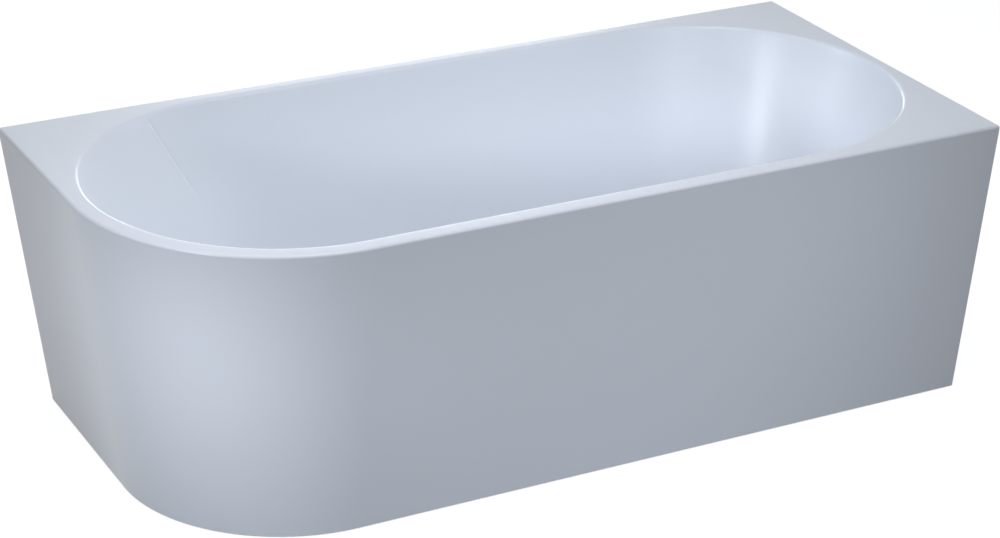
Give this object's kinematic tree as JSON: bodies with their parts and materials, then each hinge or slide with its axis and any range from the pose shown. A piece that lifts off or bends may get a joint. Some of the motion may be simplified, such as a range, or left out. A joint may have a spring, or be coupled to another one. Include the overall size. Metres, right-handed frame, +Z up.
{
  "type": "asymmetric bathtub",
  "caption": "Asymmetric back-to-wall bath with one rounded room-side corner, a leaning skirt, slot-shaped basin, click-clack waste, trap, overflow and screw feet.",
  "frame": {"origin": "on the floor under the middle of the bath's box", "axes": "+X along the bath from the backrest end to the foot end, +Y from the room side to the wall behind, +Z up"},
  "size_m": [1.7, 0.8, 0.585],
  "materials": {
    "bath_acrylic": "high gloss white sanitary acrylic",
    "glass_fibre": "rough resin laminate",
    "board_wood": "raw chipboard and ply",
    "frame_steel": "pale grey powder coat",
    "zinc_steel": "bright zinc plate",
    "black_plastic": "moulded nylon",
    "seal_rubber": "matt rubber",
    "chrome_trim": "polished chrome",
    "brass_works": "turned brass",
    "clip_steel": "stainless",
    "white_plastic": "satin moulded polypropylene",
    "hose_plastic": "grey flexible PVC"
  },
  "bodies": {
    "bath": {"back_long_rail": "frame_steel", "base_board": "board_wood", "base_board_screws": "zinc_steel", "bracket_screws": "zinc_steel", "corner_board_back_left": "board_wood", "corner_board_back_right": "board_wood", "corner_board_front_right": "board_wood", "foot_locknuts": "zinc_steel", "foot_weld_nuts": "zinc_steel", "front_long_rail": "frame_steel", "hose_clips": "clip_steel", "left_cross_rail": "frame_steel", "middle_cross_rail": "frame_steel", "outer_skirt": "bath_acrylic", "overflow_cover": "chrome_trim", "overflow_elbow": "white_plastic", "overflow_gasket": "seal_rubber", "overflow_hose": "hose_plastic", "overflow_screw": "chrome_trim", "plug_cartridge": "brass_works", "plug_spring": "clip_steel", "rail_end_caps": "black_plastic", "right_cross_rail": "frame_steel", "rim_batten_back": "board_wood", "rim_batten_front": "board_wood", "shell_backing": "glass_fibre", "skirt_bracket_backrest": "frame_steel", "skirt_bracket_room_middle": "frame_steel", "skirt_bracket_room_right": "frame_steel", "trap_cup": "white_plastic", "trap_outlet_nut": "white_plastic", "trap_outlet_washer": "seal_rubber", "trap_union_nut": "white_plastic", "trap_washer": "seal_rubber", "tub_shell": "bath_acrylic", "waste_flange": "chrome_trim", "waste_lower_gasket": "seal_rubber", "waste_tee": "white_plastic", "waste_upper_gasket": "seal_rubber"},
    "back_left_foot": {"foot_pad_back_left": "black_plastic", "foot_sole_back_left": "seal_rubber"},
    "back_middle_foot": {"foot_pad_back_middle": "black_plastic", "foot_sole_back_middle": "seal_rubber"},
    "back_right_foot": {"foot_pad_back_right": "black_plastic", "foot_sole_back_right": "seal_rubber"},
    "front_left_foot": {"foot_pad_front_left": "black_plastic", "foot_sole_front_left": "seal_rubber"},
    "front_middle_foot": {"foot_pad_front_middle": "black_plastic", "foot_sole_front_middle": "seal_rubber"},
    "front_right_foot": {"foot_pad_front_right": "black_plastic", "foot_sole_front_right": "seal_rubber"},
    "back_left_stud": {"foot_stud_back_left": "zinc_steel"},
    "back_middle_stud": {"foot_stud_back_middle": "zinc_steel"},
    "back_right_stud": {"foot_stud_back_right": "zinc_steel"},
    "front_left_stud": {"foot_stud_front_left": "zinc_steel"},
    "front_middle_stud": {"foot_stud_front_middle": "zinc_steel"},
    "front_right_stud": {"foot_stud_front_right": "zinc_steel"},
    "plug": {"plug_cap": "chrome_trim", "plug_seal": "seal_rubber", "plug_stem": "brass_works"}
  },
  "joints": [
    {"name": "plug_lift", "type": "slide", "parent": "bath", "child": "plug", "axis": [0, 0, 1], "range_m": [0, 0.009], "deforming": ["plug_spring"]},
    {"name": "front_left_height", "type": "slide", "parent": "bath", "child": "front_left_foot", "axis": [0, 0, -1], "range_m": [0, 0.02]},
    {"name": "front_left_turn", "type": "hinge", "parent": "front_left_foot", "child": "front_left_stud", "pos_m": [-0.6, -0.2, 0.05], "axis": [0, 0, -1], "range_deg": [0, 4134.9]},
    {"name": "front_middle_height", "type": "slide", "parent": "bath", "child": "front_middle_foot", "axis": [0, 0, -1], "range_m": [0, 0.02]},
    {"name": "front_middle_turn", "type": "hinge", "parent": "front_middle_foot", "child": "front_middle_stud", "pos_m": [0.02, -0.2, 0.05], "axis": [0, 0, -1], "range_deg": [0, 4134.9]},
    {"name": "front_right_height", "type": "slide", "parent": "bath", "child": "front_right_foot", "axis": [0, 0, -1], "range_m": [0, 0.02]},
    {"name": "front_right_turn", "type": "hinge", "parent": "front_right_foot", "child": "front_right_stud", "pos_m": [0.64, -0.2, 0.05], "axis": [0, 0, -1], "range_deg": [0, 4134.9]},
    {"name": "back_left_height", "type": "slide", "parent": "bath", "child": "back_left_foot", "axis": [0, 0, -1], "range_m": [0, 0.02]},
    {"name": "back_left_turn", "type": "hinge", "parent": "back_left_foot", "child": "back_left_stud", "pos_m": [-0.6, 0.2, 0.05], "axis": [0, 0, -1], "range_deg": [0, 4134.9]},
    {"name": "back_middle_height", "type": "slide", "parent": "bath", "child": "back_middle_foot", "axis": [0, 0, -1], "range_m": [0, 0.02]},
    {"name": "back_middle_turn", "type": "hinge", "parent": "back_middle_foot", "child": "back_middle_stud", "pos_m": [0.02, 0.2, 0.05], "axis": [0, 0, -1], "range_deg": [0, 4134.9]},
    {"name": "back_right_height", "type": "slide", "parent": "bath", "child": "back_right_foot", "axis": [0, 0, -1], "range_m": [0, 0.02]},
    {"name": "back_right_turn", "type": "hinge", "parent": "back_right_foot", "child": "back_right_stud", "pos_m": [0.64, 0.2, 0.05], "axis": [0, 0, -1], "range_deg": [0, 4134.9]}
  ],
  "couplings": [
    {"joint": "front_left_turn", "follows": "front_left_height", "rad_per_m": 3590.4},
    {"joint": "front_middle_turn", "follows": "front_middle_height", "rad_per_m": 3590.4},
    {"joint": "front_right_turn", "follows": "front_right_height", "rad_per_m": 3590.4},
    {"joint": "back_left_turn", "follows": "back_left_height", "rad_per_m": 3590.4},
    {"joint": "back_middle_turn", "follows": "back_middle_height", "rad_per_m": 3590.4},
    {"joint": "back_right_turn", "follows": "back_right_height", "rad_per_m": 3590.4}
  ]
}
